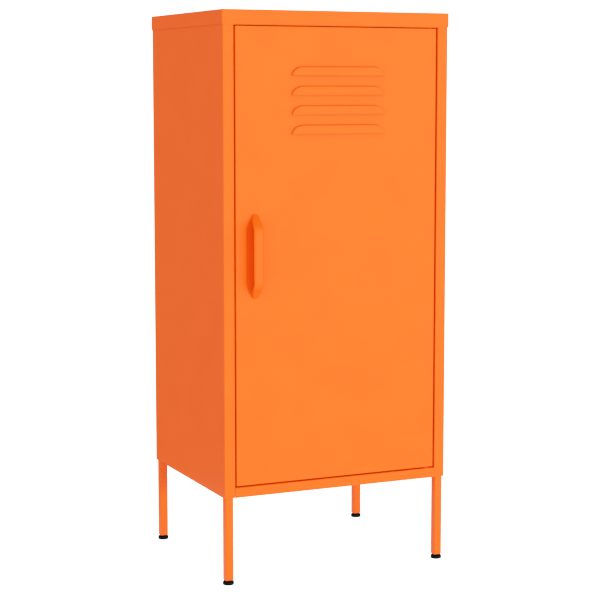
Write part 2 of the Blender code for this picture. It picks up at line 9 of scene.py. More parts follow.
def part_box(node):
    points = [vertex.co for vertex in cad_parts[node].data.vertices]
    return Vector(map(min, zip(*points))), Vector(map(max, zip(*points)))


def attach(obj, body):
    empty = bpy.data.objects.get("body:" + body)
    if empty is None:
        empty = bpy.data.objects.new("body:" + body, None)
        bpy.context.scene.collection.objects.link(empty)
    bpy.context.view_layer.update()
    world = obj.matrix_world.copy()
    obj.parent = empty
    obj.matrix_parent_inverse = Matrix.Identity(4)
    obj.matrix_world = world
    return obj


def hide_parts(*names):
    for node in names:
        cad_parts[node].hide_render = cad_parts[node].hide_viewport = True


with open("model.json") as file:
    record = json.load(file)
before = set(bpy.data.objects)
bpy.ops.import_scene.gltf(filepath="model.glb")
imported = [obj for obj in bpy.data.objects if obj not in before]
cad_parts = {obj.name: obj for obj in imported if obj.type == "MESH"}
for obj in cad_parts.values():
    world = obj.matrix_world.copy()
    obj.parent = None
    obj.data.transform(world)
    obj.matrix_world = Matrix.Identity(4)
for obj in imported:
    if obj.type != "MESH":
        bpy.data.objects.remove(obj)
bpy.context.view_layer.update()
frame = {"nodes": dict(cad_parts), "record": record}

NODES = frame["nodes"]

# Sheet metal, in metres: its thickness, the radius of its bends and of its cut corners, the gap that separate
# pieces keep, the tighter seam between the floor tray and the stiles, and a stile's width
SHEET = 0.0008
BEND = 0.0014
BEND_STEPS = 5
CORNER = 0.0012
GAP = 0.0003
SEAM = 0.00004
STILE = 0.0205

# The smallest corner radius of a pan's ring, and angles in degrees: up to which an edge is shaded smooth, on
# carved pieces too, from which one is rounded, and within which CAD triangles are merged
SHARPEST = 0.0002
SMOOTH_BELOW = 38
CARVED_SMOOTH_BELOW = 40
CARVED_ROUND_ABOVE = 45
ROUND_ABOVE = 40
FLAT_WITHIN = 1
WELD_WITHIN = 0.00002

# ---------------------------------------------------------------- places read from the frame
LID_LOW, LID_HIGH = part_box("top_cap")
SIDE_LOW, SIDE_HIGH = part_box("side_panel_right")
DOOR_LOW, DOOR_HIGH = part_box("door_skin")
TRAY_LOW, TRAY_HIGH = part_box("base_panel")
HANDLE_LOW, HANDLE_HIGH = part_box("door_handle")
HALF_WIDTH = SIDE_HIGH.x
FRONT = TRAY_LOW.y
BACK = SIDE_HIGH.y
FLOOR_TOP = TRAY_HIGH.z
LID_SKIRT = LID_LOW.z


# ---------------------------------------------------------------- materials
class Nodes:
    """Short calls for building a node tree."""

    def __init__(self, mat):
        self.tree = mat.node_tree
        self.shader = self.tree.nodes["Principled BSDF"]

    def add(self, kind, **inputs):
        node = self.tree.nodes.new(kind)
        for name, value in inputs.items():
            node.inputs[name].default_value = value
        return node

    def link(self, source, target):
        self.tree.links.new(source, target)


def map_range(tree, value, from_low, from_high, to_low, to_high):
    node = tree.nodes.new("ShaderNodeMapRange")
    ends = (("From Min", from_low), ("From Max", from_high), ("To Min", to_low), ("To Max", to_high))
    for name, number in ends:
        node.inputs[name].default_value = number
    tree.links.new(value, node.inputs["Value"])
    return node.outputs["Result"]


def new_material(name, roughness, metallic=0.0, specular=0.5):
    """A material and its nodes; the roughness is what shows where the noise on it isn't drawn."""
    mat = bpy.data.materials.new(name)
    mat.use_nodes = True
    made = Nodes(mat)
    made.shader.inputs["Roughness"].default_value = roughness
    made.shader.inputs["Metallic"].default_value = metallic
    made.shader.inputs["Specular IOR Level"].default_value = specular
    made.place = made.add("ShaderNodeTexCoord").outputs["Object"]
    return mat, made


def noise(made, scale, detail):
    """A noise pattern fixed to the piece; scale is in cycles per metre, roughly."""
    node = made.add("ShaderNodeTexNoise", Scale=scale, Detail=detail)
    made.link(made.place, node.inputs["Vector"])
    return node.outputs["Fac"]


# The part of a noise's range in which most of its values lie
NOISE_LOW = 0.3
NOISE_HIGH = 0.7


def tint(made, factor, low, high):
    """Colours the surface between two colours."""
    ramp = made.add("ShaderNodeValToRGB")
    for stop, position, colour in zip(ramp.color_ramp.elements, (NOISE_LOW, NOISE_HIGH), (low, high)):
        stop.position = position
        stop.color = (*colour, 1)
    made.link(factor, ramp.inputs["Fac"])
    made.link(ramp.outputs["Color"], made.shader.inputs["Base Color"])


def roughen(made, factor, low, high):
    """Varies the surface's roughness between two values."""
    roughness = map_range(made.tree, factor, NOISE_LOW, NOISE_HIGH, low, high)
    made.link(roughness, made.shader.inputs["Roughness"])


def bump(made, height, strength, distance):
    """Raises the surface's fine relief by a share of a distance in metres."""
    node = made.add("ShaderNodeBump", Strength=strength, Distance=distance)
    made.link(height, node.inputs["Height"])
    made.link(node.outputs["Normal"], made.shader.inputs["Normal"])


def powder_coat():
    """Satin orange powder coat: faint clouding, and the fine orange-peel ripple of a baked coat."""
    mat, made = new_material("orange_powder_coat", roughness=0.34, specular=0.30)
    clouding = noise(made, scale=14.0, detail=3.0)
    tint(made, clouding, low=(0.920, 0.122, 0.0016), high=(0.945, 0.128, 0.0020))
    patches = noise(made, scale=60.0, detail=3.0)
    roughen(made, patches, low=0.33, high=0.36)
    ripple = noise(made, scale=620.0, detail=2.0)
    bump(made, ripple, strength=0.08, distance=0.00010)
    return mat


def zinc():
    """Bright zinc plating, a little blue and clouded."""
    mat, made = new_material("zinc_plate", roughness=0.34, metallic=1.0)
    clouding = noise(made, scale=180.0, detail=4.0)
    tint(made, clouding, low=(0.60, 0.61, 0.60), high=(0.74, 0.73, 0.68))
    patches = noise(made, scale=900.0, detail=3.0)
    roughen(made, patches, low=0.26, high=0.44)
    crystals = noise(made, scale=2200.0, detail=2.0)
    bump(made, crystals, strength=0.08, distance=0.00005)
    return mat


def grained(name, colours, roughnesses, grain, depth, specular=0.5):
    """A moulded or ground surface with a fine grain of some scale and depth."""
    mat, made = new_material(name, roughness=roughnesses[0], specular=specular)
    tint(made, noise(made, scale=260.0, detail=3.0), *colours)
    roughen(made, noise(made, scale=700.0, detail=2.0), *roughnesses)
    bump(made, noise(made, scale=grain, detail=2.0), strength=0.25, distance=depth)
    return mat


def grey(level):
    return (level, level, level)


# The darkest and lightest colours of the dyed nylon, ground ferrite, moulded plastic and rubber
DYED = ((0.84, 0.12, 0.006), (0.90, 0.14, 0.008))
GROUND = ((0.035, 0.035, 0.038), (0.060, 0.060, 0.066))
MOULDED = (grey(0.002), grey(0.004))
CURED = (grey(0.016), grey(0.026))
MATERIALS = {
    "orange_paint": powder_coat(),
    "zinc_steel": zinc(),
    "black_plastic": grained("black_plastic", MOULDED, (0.38, 0.50), 2600.0, 0.00006, specular=0.12),
    "black_rubber": grained("black_rubber", CURED, (0.68, 0.82), 1800.0, 0.00008),
    "orange_nylon": grained("orange_nylon", DYED, (0.36, 0.46), 2000.0, 0.00004),
    "magnet": grained("ferrite", GROUND, (0.45, 0.62), 3000.0, 0.00006),
}


# ---------------------------------------------------------------- mesh helpers
def add_piece(name, mesh, body, slot, nodes=()):
    """Makes a piece of the locker: it rides on a body and stands for its CAD nodes."""
    obj = bpy.data.objects.new(name, mesh)
    bpy.context.scene.collection.objects.link(obj)
    mesh.materials.clear()
    mesh.materials.append(MATERIALS[slot])
    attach(obj, body)
    if nodes:
        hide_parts(*nodes)
    return obj


def mesh_from(shape, name, sharp=SMOOTH_BELOW):
    mesh = bpy.data.meshes.new(name)
    shape.normal_update()
    shape.to_mesh(mesh)
    shape.free()
    mesh.shade_smooth()
    mesh.set_sharp_from_angle(angle=math.radians(sharp))
    return mesh


def thicken(obj, thickness=SHEET):
    solid = obj.modifiers.new("sheet", "SOLIDIFY")
    solid.thickness = thickness
    solid.offset = -1
    solid.use_even_offset = True
    even_shading(obj)


def even_shading(obj):
    """Large flat faces keep their flat shading next to narrow bends."""
    weighted = obj.modifiers.new("shading", "WEIGHTED_NORMAL")
    weighted.weight = 100
    weighted.keep_sharp = True


def soften(node, width, slot):
    """Gives a CAD node its material, merges its flat triangles and rounds its edges."""
    obj = NODES[node]
    obj.data.materials.clear()
    obj.data.materials.append(MATERIALS[slot])
    for polygon in obj.data.polygons:
        polygon.material_index = 0
    weld = obj.modifiers.new("weld", "WELD")
    weld.merge_threshold = WELD_WITHIN
    flat = obj.modifiers.new("flat", "DECIMATE")
    flat.decimate_type = "DISSOLVE"
    flat.angle_limit = math.radians(FLAT_WITHIN)
    edge = obj.modifiers.new("edge", "BEVEL")
    edge.width = width
    edge.segments = 2
    edge.limit_method = "ANGLE"
    edge.angle_limit = math.radians(ROUND_ABOVE)
    even_shading(obj)
    return obj


def arc(centre, radius, start, end, steps):
    """Points on a circle between two angles in degrees, both ends included."""
    points = []
    for step in range(steps + 1):
        angle = math.radians(start + (end - start) * step / steps)
        points.append((centre[0] + radius * math.cos(angle), centre[1] + radius * math.sin(angle)))
    return points


def rounded_rectangle(low, high, radius, steps=3):
    """A closed outline, anticlockwise from the lower right corner."""
    (u0, v0), (u1, v1) = low, high
    outline = []
    for u, v, start in (
        (u1 - radius, v0 + radius, -90),
        (u1 - radius, v1 - radius, 0),
        (u0 + radius, v1 - radius, 90),
        (u0 + radius, v0 + radius, 180),
    ):
        outline += arc((u, v), radius, start, start + 90, steps)
    return outline


def bridge(shape, first, second):
    """Joins two closed rings with quads."""
    count = len(first)
    for i in range(count):
        j = (i + 1) % count
        shape.faces.new((first[i], first[j], second[j], second[i]))


def bend_angles():
    return [math.pi / 2 * step / BEND_STEPS for step in range(BEND_STEPS + 1)]


def pan_profile(depth, lip):
    """(inset, depth) steps of a folded pan's wall: front bend, wall, and a turned lip if it has one."""
    steps = [(BEND * (1 - math.sin(t)), BEND * (1 - math.cos(t))) for t in bend_angles()]
    if lip:
        steps += [(BEND * (1 - math.cos(t)), depth - BEND + BEND * math.sin(t)) for t in bend_angles()]
        steps.append((lip, depth))
    else:
        steps.append((0.0, depth))
    return steps


def pan_shape(low, high, axes, closed_at, depth, lip):
    """A folded pan's wall as an open surface, and the ring round its face.

    axes says which world axes are the face's two and the depth's. The face lies at closed_at on the last.
    """
    u, v, w = axes
    direction = 1 if closed_at <= (low[w] + high[w]) / 2 else -1
    shape = bmesh.new()
    rings = []
    for inset, down in pan_profile(depth, lip):
        radius = max(CORNER - inset, SHARPEST)
        near = (low[u] + inset, low[v] + inset)
        far = (high[u] - inset, high[v] - inset)
        outline = rounded_rectangle(near, far, radius)
        ring = []
        for a, b in outline:
            place = [0.0, 0.0, 0.0]
            place[u], place[v], place[w] = a, b, closed_at + direction * down
            ring.append(shape.verts.new(place))
        rings.append(ring)
    for first, second in zip(rings, rings[1:]):
        bridge(shape, first, second)
    return shape, rings[0]


def face_outwards(shape, probe):
    """Turns an open surface's faces so that the one nearest to a probe point looks at it."""
    bmesh.ops.recalc_face_normals(shape, faces=shape.faces)
    shape.normal_update()
    probe = Vector(probe)
    nearest = min(shape.faces, key=lambda face: (face.calc_center_median() - probe).length)
    if nearest.normal.dot(probe - nearest.calc_center_median()) < 0:
        bmesh.ops.reverse_faces(shape, faces=shape.faces)


def pan(name, low, high, axes, closed_at, depth, lip, body, nodes):
    """A painted pan with a plain face, such as the lid or a shelf."""
    shape, face = pan_shape(low, high, axes, closed_at, depth, lip)
    shape.faces.new(face)
    middle = [(a + b) / 2 for a, b in zip(low, high)]
    middle[axes[2]] = closed_at + (1 if closed_at > middle[axes[2]] else -1)
    face_outwards(shape, middle)
    obj = add_piece(name, mesh_from(shape, name), body, "orange_paint", nodes)
    thicken(obj)
    return obj


def rounded_corner(before, here, after, radius, steps=BEND_STEPS):
    """Points round one corner of a path."""
    before, here, after = Vector(before), Vector(here), Vector(after)
    into, out = (before - here).normalized(), (after - here).normalized()
    half = into.angle(out) / 2
    centre = here + (into + out).normalized() * (radius / math.sin(half))
    first = here + into * (radius / math.tan(half)) - centre
    sweep = math.copysign(math.pi - 2 * half, into.y * out.x - into.x * out.y)
    points = []
    for step in range(steps + 1):
        cos, sin = math.cos(sweep * step / steps), math.sin(sweep * step / steps)
        points.append(centre + Vector((first.x * cos - first.y * sin, first.x * sin + first.y * cos)))
    return points


def filleted(points, radius):
    """An open path with each inner corner rounded."""
    rounded = [Vector(points[0])]
    for before, here, after in zip(points, points[1:], points[2:]):
        rounded += rounded_corner(before, here, after, radius)
    rounded.append(Vector(points[-1]))
    return rounded


def rounded_loop(corners, steps):
    """A closed outline from (u, v, radius) corners."""
    points = [corner[:2] for corner in corners]
    outline = []
    for i, corner in enumerate(corners):
        after = points[(i + 1) % len(points)]
        outline += rounded_corner(points[i - 1], points[i], after, corner[2], steps)
    return outline


def loft(name, outlines, sharp=SMOOTH_BELOW):
    """A closed mesh through equal rings of points."""
    shape = bmesh.new()
    rings = [[shape.verts.new(point) for point in outline] for outline in outlines]
    for first, second in zip(rings, rings[1:]):
        bridge(shape, first, second)
    shape.faces.new(rings[0])
    shape.faces.new(rings[-1])
    bmesh.ops.recalc_face_normals(shape, faces=shape.faces)
    return mesh_from(shape, name, sharp)


def carved(name, solid, cutter, rim):
    """The mesh left when a cutter is taken out of a solid, with its new edges rounded."""
    objects = [bpy.data.objects.new(name, solid), bpy.data.objects.new(name + "_cutter", cutter)]
    for obj in objects:
        bpy.context.scene.collection.objects.link(obj)
    cut = objects[0].modifiers.new("cut", "BOOLEAN")
    cut.operation = "DIFFERENCE"
    cut.solver = "EXACT"
    cut.object = objects[1]
    edge = objects[0].modifiers.new("rim", "BEVEL")
    edge.width = rim
    edge.segments = 3
    edge.limit_method = "ANGLE"
    edge.angle_limit = math.radians(CARVED_ROUND_ABOVE)
    edge.use_clamp_overlap = False
    graph = bpy.context.evaluated_depsgraph_get()
    mesh = bpy.data.meshes.new_from_object(objects[0].evaluated_get(graph))
    for obj in objects:
        bpy.data.objects.remove(obj)
    mesh.shade_smooth()
    mesh.set_sharp_from_angle(angle=math.radians(CARVED_SMOOTH_BELOW))
    return mesh


def folded(name, path, stations, place, keep, body, nodes, tabs=()):
    """A sheet folded along a rounded path and run through stations.

    place(a, b, station) gives a world point, and keep(a, b, band) says whether the sheet has a face there.
    tabs are extra flat corners: (column, point, band) widens a band of the sheet up to that point.
    """
    columns = filleted(path, BEND)
    shape = bmesh.new()
    grid = [[shape.verts.new(place(p.x, p.y, s)) for p in columns] for s in stations]
    for band in range(len(stations) - 1):
        for i in range(len(columns) - 1):
            middle = (columns[i] + columns[i + 1]) / 2
            if keep(middle.x, middle.y, band):
                here, beyond = grid[band], grid[band + 1]
                shape.faces.new((here[i], here[i + 1], beyond[i + 1], beyond[i]))
    for column, point, band in tabs:
        ends = [shape.verts.new(place(point[0], point[1], stations[k])) for k in (band, band + 1)]
        inner, outer = grid[band][column], grid[band + 1][column]
        shape.faces.new((ends[0], inner, outer, ends[1]))
    bmesh.ops.delete(shape, geom=[v for v in shape.verts if not v.link_faces], context="VERTS")
    obj = add_piece(name, mesh_from(shape, name), body, "orange_paint", nodes)
    thicken(obj)
    return obj


def circle(radius, height, segments):
    angles = [2 * math.pi * k / segments for k in range(segments)]
    return [(radius * math.cos(a), radius * math.sin(a), height) for a in angles]


def revolve(name, profile, segments):
    """A closed mesh turned about Z from (radius, height) points, which start and end on the axis."""
    shape = bmesh.new()
    rings = []
    for radius, height in profile:
        points = circle(radius, height, segments) if radius else [(0, 0, height)]
        rings.append([shape.verts.new(point) for point in points])
    for first, second in zip(rings, rings[1:]):
        if len(first) == 1 or len(second) == 1:
            tip, rim = (first[0], second) if len(first) == 1 else (second[0], first)
            for i in range(segments):
                shape.faces.new((tip, rim[i], rim[(i + 1) % segments]))
        else:
            bridge(shape, first, second)
    bmesh.ops.recalc_face_normals(shape, faces=shape.faces)
    return mesh_from(shape, name)


# ---------------------------------------------------------------- cabinet
# How far a side sheet turns in behind its stile, and along the back
SIDE_RETURN = 0.020
BACK_RETURN = 0.012


def make_lid():
    height = LID_HIGH.z - LID_LOW.z
    pan("lid", LID_LOW, LID_HIGH, (0, 1, 2), LID_HIGH.z, height, 0, "cabinet", ["top_cap"])


def make_sides():
    """Side sheets folded round the front as stiles, with returns between the rails only.

    The left one's return ends in a second fold, the lip that the door closes against.
    """
    edge = HALF_WIDTH - STILE
    stations = [SIDE_LOW.z, FLOOR_TOP + GAP, LID_SKIRT, SIDE_HIGH.z]
    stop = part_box("side_panel_left")[1].x
    for name, side in (("left", -1), ("right", 1)):
        path = [(edge, FRONT + SIDE_RETURN), (edge, FRONT), (HALF_WIDTH, FRONT), (HALF_WIDTH, BACK)]
        path.append((HALF_WIDTH - BACK_RETURN, BACK))
        # The last column of the bend at the stile's inner edge, where its flat face starts
        corner = BEND_STEPS + 1
        if side < 0:
            path.insert(0, (-stop, FRONT + SIDE_RETURN))
            corner += BEND_STEPS + 1
        panel = folded(
            "side_" + name,
            path,
            stations,
            lambda a, b, z, side=side: (side * a, b, z),
            lambda a, b, band: band == 1 or a > edge + BEND,
            "cabinet",
            ["side_panel_" + name],
            [(corner, (edge, FRONT), 0), (corner, (edge, FRONT), 2)],
        )
        if side < 0:
            panel.data.flip_normals()


def make_floor_tray():
    """The locker's floor in one sheet with its front rail, which fits between the stiles, and rear flange."""
    low, high = TRAY_LOW, TRAY_HIGH
    edge = HALF_WIDTH - STILE - SEAM
    path = [(FRONT, low.z), (FRONT, high.z), (high.y, high.z), (high.y, low.z)]
    folded(
        "floor_tray",
        path,
        [low.x, -edge, edge, high.x],
        lambda a, b, x: (x, a, b),
        lambda a, b, band: band == 1 or a > FRONT + BEND,
        "cabinet",
        ["base_panel"],
    )


make_lid()
make_sides()
make_floor_tray()


# ---------------------------------------------------------------- legs and feet
# A square tube's wall and corner radius
TUBE_WALL = 0.0012
TUBE_CORNER = 0.0018

# A foot's pad and neck, from the neck's flat top to the hollow under the pad
NECK_TOP = 0.0083
NECK_FLAT = 0.0050
NECK_EDGE = 0.0005
NECK_FILLET = 0.0008
PAD_HEIGHT = 0.0065
PAD_SHOULDER = 0.0024
PAD_STRAIGHT = 0.0005
PAD_RIM = 0.0011
PAD_TREAD = 0.0030
PAD_HOLLOW = 0.0003

# An M6 stud, and the gap it keeps above the neck
STUD_GAP = 0.0001
STUD_RADIUS = 0.003
THREAD_PITCH = 0.001
THREAD_DEPTH = 0.00045
THREAD_CHAMFER = 0.0005
ROWS_PER_TURN = 8


def leg_names():
    return [(place, side) for place in ("front", "rear") for side in ("left", "right")]


def make_legs():
    for place, side in leg_names():
        node = f"leg_tube_{place}_{side}"
        low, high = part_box(node)
        outline = rounded_rectangle((low.x, low.y), (high.x, high.y), TUBE_CORNER, steps=5)
        shape = bmesh.new()
        rings = [[shape.verts.new((x, y, z)) for x, y in outline] for z in (low.z, high.z)]
        bridge(shape, rings[0], rings[1])
        face_outwards(shape, (low.x - 1, low.y, (low.z + high.z) / 2))
        mesh = mesh_from(shape, node + "_mesh")
        obj = add_piece(f"tube_{place}_{side}", mesh, "cabinet", "orange_paint", [node])
        thicken(obj, TUBE_WALL)


def thread(name, bottom, top, segments=24):
    """A threaded stud: rings whose radius follows the thread's helix, chamfered at the top."""
    rows = round((top - bottom) / THREAD_PITCH * ROWS_PER_TURN)
    rings = []
    for row in range(rows + 1):
        z = bottom + (top - bottom) * row / rows
        fade = min(1.0, (top - z) / THREAD_PITCH)
        ring = []
        for k in range(segments):
            phase = ((z / THREAD_PITCH) - k / segments) % 1.0
            depth = THREAD_DEPTH * (1 - abs(2 * phase - 1))
            radius = STUD_RADIUS - depth - (1 - fade) * THREAD_CHAMFER
            angle = 2 * math.pi * k / segments
            ring.append((radius * math.cos(angle), radius * math.sin(angle), z))
        rings.append(ring)
    return loft(name, rings, sharp=60)


def pad_profile(radius):
    """A foot's outline from the middle of its neck's top to the middle of its underside."""
    root = NECK_FLAT + NECK_EDGE + NECK_FILLET
    profile = [(0, NECK_TOP), (NECK_FLAT, NECK_TOP)]
    profile += arc((NECK_FLAT, NECK_TOP - NECK_EDGE), NECK_EDGE, 90, 0, 3)[1:]
    profile += arc((root, PAD_HEIGHT + NECK_FILLET), NECK_FILLET, 180, 270, 4)
    profile += arc((radius - PAD_SHOULDER, PAD_HEIGHT - PAD_SHOULDER), PAD_SHOULDER, 90, 0, 7)
    profile.append((radius, PAD_RIM + PAD_STRAIGHT))
    profile += arc((radius - PAD_RIM, PAD_RIM), PAD_RIM, 0, -90, 4)
    hollow = radius - PAD_TREAD - PAD_HOLLOW
    profile += [(radius - PAD_TREAD, 0.0), (hollow, PAD_HOLLOW), (0, PAD_HOLLOW)]
    return profile


def make_feet():
    """A moulded pad with a rounded rim and short neck, on a zinc-plated threaded stud."""
    low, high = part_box("foot_front_left")
    pad = revolve("foot_pad", pad_profile((high.x - low.x) / 2), segments=64)
    stud = thread("foot_stud", NECK_TOP + STUD_GAP, high.z)
    for place, side in leg_names():
        node = f"foot_{place}_{side}"
        low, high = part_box(node)
        centre = Vector(((low.x + high.x) / 2, (low.y + high.y) / 2, 0))
        for part, mesh, slot in (("pad", pad, "black_plastic"), ("stud", stud, "zinc_steel")):
            own = mesh.copy()
            own.transform(Matrix.Translation(centre))
            add_piece(f"foot_{part}_{place}_{side}", own, f"leveller_{place}_{side}", slot, [node])


make_legs()
make_feet()


# ---------------------------------------------------------------- door
# The lip turned in round the door's back
DOOR_LIP = 0.012

# Louvres: how many, their pitch, the top of the highest, and the height, half length and rounded end of each
LOUVRES = 4
LOUVRE_PITCH = 0.0342
LOUVRE_TOP = 0.9182
LOUVRE_HEIGHT = 0.0162
LOUVRE_HALF_LENGTH = 0.0915
LOUVRE_END = 0.023

# A hood's pressed wall, as how far it has drawn in and how far out it stands
HOOD_STEPS = [
    (-0.0003, 0.0),
    (0.0, 0.0001),
    (0.0002, 0.0004),
    (0.0009, 0.0032),
    (0.0012, 0.0038),
    (0.0017, 0.0042),
    (0.0025, 0.0045),
    (0.0038, 0.0046),
]


def hood_ring(shape, slit, shrink, y):
    """Ring of a pressed hood, straight below with rounded shoulders, from its right end to its left."""
    middle = LOUVRE_HALF_LENGTH - LOUVRE_END
    points = []
    for angle in range(0, 91, 6):
        turn = math.radians(angle)
        x = middle + (LOUVRE_END - shrink) * math.cos(turn)
        points.append((x, slit + (LOUVRE_HEIGHT - shrink) * math.sin(turn)))
    points += [(-x, z) for x, z in reversed(points)]
    return [shape.verts.new((x, y, z)) for x, z in points]


def make_door():
    """The door pan; each louvre is pressed out of the sheet above a slit, so it is open below."""
    low, high = DOOR_LOW.copy(), DOOR_HIGH.copy()
    low.y = FRONT
    shape, face = pan_shape(low, high, (0, 2, 1), FRONT, high.y - FRONT, DOOR_LIP)
    edges = [shape.edges.get((face[i], face[(i + 1) % len(face)])) for i in range(len(face))]
    for number in range(LOUVRES):
        slit = LOUVRE_TOP - LOUVRE_HEIGHT - number * LOUVRE_PITCH
        rings = [hood_ring(shape, slit, shrink, FRONT - out) for shrink, out in HOOD_STEPS]
        for first, second in zip(rings, rings[1:]):
            for i in range(len(first) - 1):
                shape.faces.new((first[i], first[i + 1], second[i + 1], second[i]))
        shape.faces.new(rings[-1])
        base = rings[0]
        edges += [shape.edges.get((base[i], base[i + 1])) for i in range(len(base) - 1)]
        edges.append(shape.edges.new((base[-1], base[0])))
    bmesh.ops.triangle_fill(shape, edges=edges, use_beauty=True, normal=(0, -1, 0))
    face_outwards(shape, (0, FRONT - 1, (low.z + high.z) / 2))
    obj = add_piece("door_pan", mesh_from(shape, "door_pan"), "door", "orange_paint", ["door_skin"])
    thicken(obj)


# The pull: how far it stands out, its half sizes at the door, its front edges' radius, how its ends slope,
# and where and how much its left side tapers towards the ends
HANDLE_DEPTH = FRONT - HANDLE_LOW.y
HANDLE_HALF_LENGTH = (HANDLE_HIGH.z - HANDLE_LOW.z) / 2
HANDLE_HALF_WIDTH = (HANDLE_HIGH.x - HANDLE_LOW.x) / 2
HANDLE_EDGE = 0.0066
HANDLE_SLOPE = 0.893
TAPER_FROM = 0.049
TAPER = 0.323
TAPER_END = 0.008
TAPER_ROUND = 0.010

# The radii of the pull's corners, how fast they tighten over its front edges, and down to what
RIGHT_CORNER = 0.0058
RIGHT_TIGHTENS = 0.8
LEFT_CORNER = 0.0035
LEFT_TIGHTENS = 0.5
TIGHTEST = 0.0005

# Its finger recess: how deep, where its walls and ends are, how much its ends draw in towards the bottom, and
# the radii round its bottom and in its corners
RECESS_DEPTH = 0.0152
RECESS_FLOOR = 0.0010
RECESS_FRONT = 0.0250
RECESS_DOOR_END = 0.0690
RECESS_FRONT_END = 0.0490
RECESS_DOOR_DRAW = 0.0245
RECESS_FRONT_DRAW = 0.0075
RECESS_CURVE = 1.8
RECESS_ROUND = 0.0030
RECESS_DOOR_CORNER = 0.0015
RECESS_FRONT_CORNER = 0.0045
RECESS_RIM = 0.0005
CUTTER_LEAD = 0.003
CORNER_STEPS = 8


def handle_outline(out):
    """The pull's outline at a distance out from the door: (x, z) round its middle.

    The right side is straight. The left side tapers towards both ends, and the front edges are rounded.
    """
    beyond = max(0.0, out - (HANDLE_DEPTH - HANDLE_EDGE))
    inset = HANDLE_EDGE - math.sqrt(max(0.0, HANDLE_EDGE ** 2 - beyond ** 2))
    half = HANDLE_HALF_LENGTH - HANDLE_SLOPE * out - inset
    left, right = inset - HANDLE_HALF_WIDTH, HANDLE_HALF_WIDTH - inset
    bend = min(TAPER_FROM, half - TAPER_END)
    tip = left + TAPER * max(0.0, half - TAPER_FROM)
    wide = max(TIGHTEST, RIGHT_CORNER - RIGHT_TIGHTENS * inset)
    small = max(TIGHTEST, LEFT_CORNER - LEFT_TIGHTENS * inset)
    corners = [
        (right, -half, wide),
        (right, half, wide),
        (tip, half, small),
        (left, bend, TAPER_ROUND),
        (left, -bend, TAPER_ROUND),
        (tip, -half, small),
    ]
    return rounded_loop(corners, CORNER_STEPS)


def recess_outlines():
    """The finger recess as (x, out, z) rings, from outside the pull's left face to its rounded bottom."""
    straight = RECESS_DEPTH - RECESS_ROUND
    depths = [-CUTTER_LEAD] + [straight * step / 8 for step in range(9)]
    depths += [straight + RECESS_ROUND * math.sin(math.radians(angle)) for angle in (20, 40, 60, 75, 90)]
    for depth in depths:
        narrowing = (max(0.0, depth) / RECESS_DEPTH) ** RECESS_CURVE
        beyond = max(0.0, depth - straight)
        inset = RECESS_ROUND - math.sqrt(max(0.0, RECESS_ROUND ** 2 - beyond ** 2))
        floor, front = RECESS_FLOOR + inset, RECESS_FRONT - inset
        door_end = RECESS_DOOR_END - RECESS_DOOR_DRAW * narrowing - inset
        front_end = RECESS_FRONT_END - RECESS_FRONT_DRAW * narrowing - inset
        corners = [
            (floor, -door_end, RECESS_DOOR_CORNER),
            (front, -front_end, RECESS_FRONT_CORNER),
            (front, front_end, RECESS_FRONT_CORNER),
            (floor, door_end, RECESS_DOOR_CORNER),
        ]
        yield [(depth - HANDLE_HALF_WIDTH, out, z) for out, z in rounded_loop(corners, CORNER_STEPS)]


def make_handle():
    """A solid pull hollowed on its left side for the fingers."""
    middle_x = (HANDLE_LOW.x + HANDLE_HIGH.x) / 2
    middle_z = (HANDLE_LOW.z + HANDLE_HIGH.z) / 2
    straight = HANDLE_DEPTH - HANDLE_EDGE
    outs = [GAP, straight]
    outs += [HANDLE_DEPTH - HANDLE_EDGE * (1 - math.sin(math.radians(a))) for a in range(8, 89, 8)]
    outs.append(HANDLE_DEPTH)
    solid = []
    for out in outs:
        solid.append([(middle_x + x, FRONT - out, middle_z + z) for x, z in handle_outline(out)])
    hollow = []
    for ring in recess_outlines():
        hollow.append([(middle_x + x, FRONT - out, middle_z + z) for x, out, z in ring])
    mesh = carved("pull_handle", loft("pull_solid", solid), loft("pull_recess", hollow), RECESS_RIM)
    handle = add_piece("pull_handle", mesh, "door", "orange_paint", ["door_handle"])
    even_shading(handle)


make_door()
make_handle()


# ---------------------------------------------------------------- inside
# The lip turned in round a shelf's underside
SHELF_LIP = 0.012


def make_shelves():
    for level in ("lower", "upper"):
        node = "shelf_" + level
        low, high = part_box(node)
        name = "shelf_pan_" + level
        pan(name, low, high, (0, 1, 2), high.z, high.z - low.z, SHELF_LIP, "cabinet", [node])


make_shelves()


# ---------------------------------------------------------------- screws
# How the driver recess starts above the head and narrows towards its bottom, the width of its softened edges,
# the rings of a head, its chamfered rim, and how a shank's end is chamfered
RECESS_LEAD = 0.001
RECESS_NARROW = 0.72
DRIVER_EDGE = 0.00008
HEAD_STEPS = 7
HEAD_RIM = 0.0001
SHANK_CHAMFER = 0.0004
SHANK_TIP = 0.8


def driver_recess(points, top, depth):
    """A tapered driver recess from a cross or hexagon outline."""
    levels = ((top + RECESS_LEAD, 1.0), (top, 1.0), (top - depth, RECESS_NARROW))
    return loft("driver_recess", [[(x * size, y * size, z) for x, y in points] for z, size in levels])


def cross_points(reach, half):
    """The outline of a cross, anticlockwise."""
    arm = [(reach, -half), (reach, half), (half, half)]
    outline = []
    for _ in range(4):
        outline += arm
        arm = [(-y, x) for x, y in arm]
    return outline


def hexagon_points(reach):
    return [(reach * math.cos(math.pi / 3 * k), reach * math.sin(math.pi / 3 * k)) for k in range(6)]


